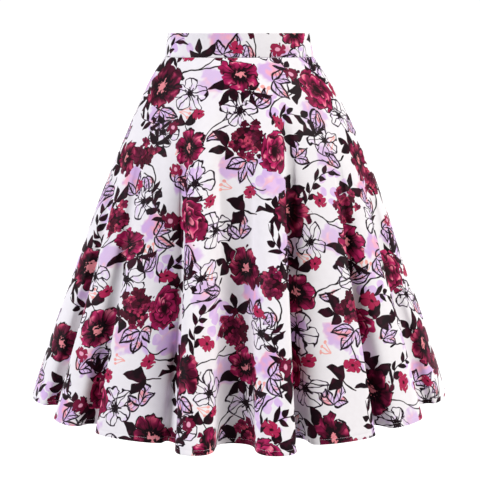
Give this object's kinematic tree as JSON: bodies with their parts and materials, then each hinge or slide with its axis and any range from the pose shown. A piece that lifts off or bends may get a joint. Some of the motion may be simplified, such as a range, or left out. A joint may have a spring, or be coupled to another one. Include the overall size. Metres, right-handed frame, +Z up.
{
  "type": "a-line skirt",
  "caption": "Knee-length flared a-line skirt with a high fitted waistband, deep hem flutes and a concealed centre-back zip, hollow in its worn shape.",
  "frame": {"origin": "centre of the waistband's upper opening, where the wearer's waist holds the skirt", "axes": "+Z up out of the waist, -Y towards the front, +X towards the wearer's left side"},
  "size_m": [0.7323, 0.6472, 0.6457],
  "materials": {
    "printed_cotton": "smooth satin-weave cotton, white ground with a printed flower design",
    "zip_tape": "white woven polyester tape",
    "zip_metal": "white lacquered zinc"
  },
  "bodies": {
    "cloth": {"waistband": "printed_cotton", "skirt_front": "printed_cotton", "skirt_back_left": "printed_cotton", "skirt_back_right": "printed_cotton", "zip_tape": "zip_tape", "zip_slider": "zip_metal"},
    "pull": {"zip_pull": "zip_metal"}
  },
  "joints": [
    {"name": "pull_swing", "type": "hinge", "parent": "cloth", "child": "pull", "pos_m": [0, 0.09659, -0.01454], "axis": [1, 0, 0], "range_deg": [0, 150]}
  ]
}
